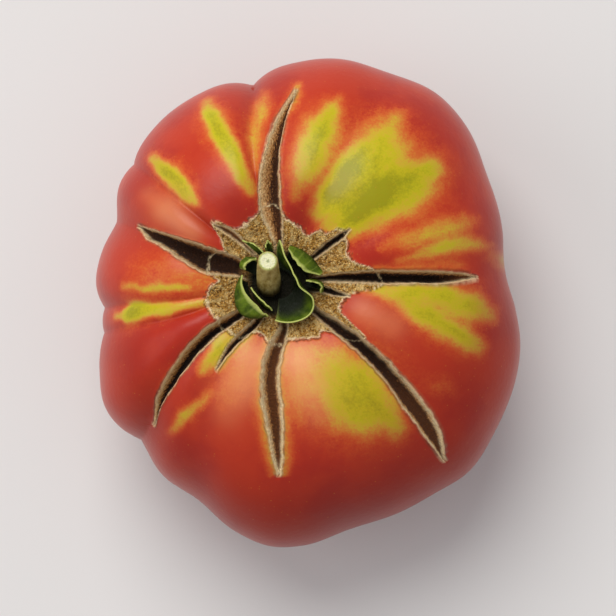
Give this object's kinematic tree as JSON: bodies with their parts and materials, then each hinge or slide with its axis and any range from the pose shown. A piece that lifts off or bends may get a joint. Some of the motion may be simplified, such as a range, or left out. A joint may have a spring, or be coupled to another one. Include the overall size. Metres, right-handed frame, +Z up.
{
  "type": "tomato",
  "caption": "Whole ribbed beefsteak tomato with a cut stub of stem, a curled green calyx and corky growth cracks, at rest on its blossom end.",
  "frame": {"origin": "on the ground, under the middle of the whole tomato's outline as seen from above", "axes": "+Z up through the stem, +Y along the longest way across the fruit, +X to the right when seen from above with +Y away from the viewer"},
  "size_m": [0.1, 0.1152, 0.0716],
  "materials": {
    "skin": "satin waxy skin, dark red with orange, yellow and olive green shoulders, tan cork round the stem and in the cracks",
    "stem": "matt, dull olive bark with a pale green cut face",
    "sepal": "matt, dark green blade with a pale green rim"
  },
  "bodies": {
    "root": {"fruit": "skin", "stem": "stem", "sepal_north": "sepal", "sepal_north_east": "sepal", "sepal_east": "sepal", "sepal_south_east": "sepal", "sepal_south": "sepal", "sepal_south_west": "sepal", "sepal_west": "sepal", "sepal_north_west": "sepal"}
  },
  "joints": []
}
